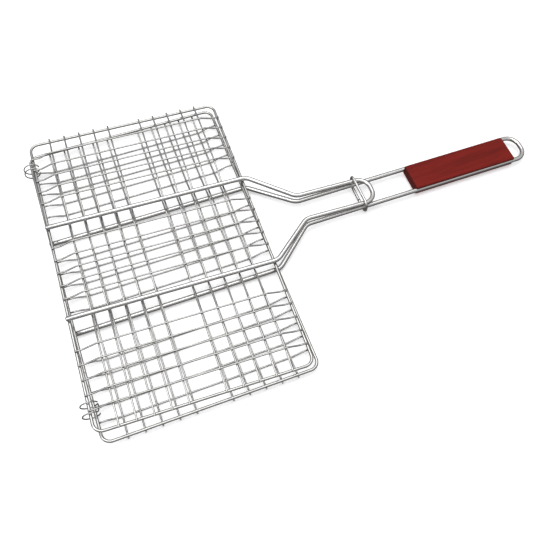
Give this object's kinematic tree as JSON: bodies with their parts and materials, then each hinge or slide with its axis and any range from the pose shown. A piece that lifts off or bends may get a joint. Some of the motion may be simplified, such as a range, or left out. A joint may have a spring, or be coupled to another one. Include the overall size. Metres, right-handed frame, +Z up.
{
  "type": "grill basket",
  "caption": "Hinged wire grill basket: two flat mesh leaves on hinge coils, a long two-rod handle with a wooden grip, a sliding lock ring and a hanging loop.",
  "frame": {"origin": "middle of the bounding box at the height of the surface that the closed basket lies on", "axes": "+X from the hinge side to the grip, +Y along the hinge, +Z up"},
  "size_m": [0.5526, 0.3528, 0.0247],
  "materials": {
    "plated_wire": "bright nickel or chrome plate over drawn steel wire",
    "plated_rod": "bright nickel or chrome plate over drawn steel rod",
    "stained_wood": "red-brown stained hardwood, satin varnish"
  },
  "bodies": {
    "lower_leaf": {"lower_frame": "plated_wire", "lower_handle_rod": "plated_rod", "lower_long_wire_01": "plated_wire", "lower_long_wire_02": "plated_wire", "lower_long_wire_03": "plated_wire", "lower_long_wire_04": "plated_wire", "lower_long_wire_05": "plated_wire", "lower_long_wire_06": "plated_wire", "lower_long_wire_07": "plated_wire", "lower_long_wire_08": "plated_wire", "lower_long_wire_09": "plated_wire", "lower_long_wire_10": "plated_wire", "lower_cross_wire_01": "plated_wire", "lower_cross_wire_02": "plated_wire", "lower_cross_wire_03": "plated_wire", "lower_cross_wire_04": "plated_wire", "lower_cross_wire_05": "plated_wire", "lower_cross_wire_06": "plated_wire", "lower_cross_wire_07": "plated_wire", "lower_cross_wire_08": "plated_wire", "lower_cross_wire_09": "plated_wire", "lower_cross_wire_10": "plated_wire", "lower_cross_wire_11": "plated_wire", "lower_cross_wire_12": "plated_wire", "lower_cross_wire_13": "plated_wire", "lower_cross_wire_14": "plated_wire", "lower_cross_wire_15": "plated_wire", "wooden_grip": "stained_wood"},
    "upper_leaf": {"upper_frame": "plated_wire", "upper_handle_rod": "plated_rod", "upper_long_wire_01": "plated_wire", "upper_long_wire_02": "plated_wire", "upper_long_wire_03": "plated_wire", "upper_long_wire_04": "plated_wire", "upper_long_wire_05": "plated_wire", "upper_long_wire_06": "plated_wire", "upper_long_wire_07": "plated_wire", "upper_long_wire_08": "plated_wire", "upper_long_wire_09": "plated_wire", "upper_long_wire_10": "plated_wire", "upper_cross_wire_01": "plated_wire", "upper_cross_wire_02": "plated_wire", "upper_cross_wire_03": "plated_wire", "upper_cross_wire_04": "plated_wire", "upper_cross_wire_05": "plated_wire", "upper_cross_wire_06": "plated_wire", "upper_cross_wire_07": "plated_wire", "upper_cross_wire_08": "plated_wire", "upper_cross_wire_09": "plated_wire", "upper_cross_wire_10": "plated_wire", "upper_cross_wire_11": "plated_wire", "upper_cross_wire_12": "plated_wire", "upper_cross_wire_13": "plated_wire", "upper_cross_wire_14": "plated_wire", "upper_cross_wire_15": "plated_wire"},
    "hinge_coil_far": {"hinge_coil_far": "plated_wire"},
    "hinge_coil_near": {"hinge_coil_near": "plated_wire"},
    "lock_ring": {"lock_ring": "plated_rod"}
  },
  "joints": [
    {"name": "leaf_open", "type": "hinge", "parent": "lower_leaf", "child": "upper_leaf", "pos_m": [-0.26572, -0.00444, 0.01262], "axis": [-0.0131, -0.9999, 0], "range_deg": [0, 180]},
    {"name": "hinge_coil_far_turn", "type": "hinge", "parent": "lower_leaf", "child": "hinge_coil_far", "pos_m": [-0.26572, -0.00444, 0.01262], "axis": [-0.0131, -0.9999, 0], "range_deg": [0, 90]},
    {"name": "hinge_coil_near_turn", "type": "hinge", "parent": "lower_leaf", "child": "hinge_coil_near", "pos_m": [-0.26572, -0.00444, 0.01262], "axis": [-0.0131, -0.9999, 0], "range_deg": [0, 90]},
    {"name": "lock_ring_slide", "type": "slide", "parent": "lower_leaf", "child": "lock_ring", "axis": [1, 0, 0], "range_m": [-0.005, 0.06]}
  ],
  "couplings": [
    {"joint": "hinge_coil_far_turn", "follows": "leaf_open", "ratio": 0.5},
    {"joint": "hinge_coil_near_turn", "follows": "leaf_open", "ratio": 0.5}
  ]
}
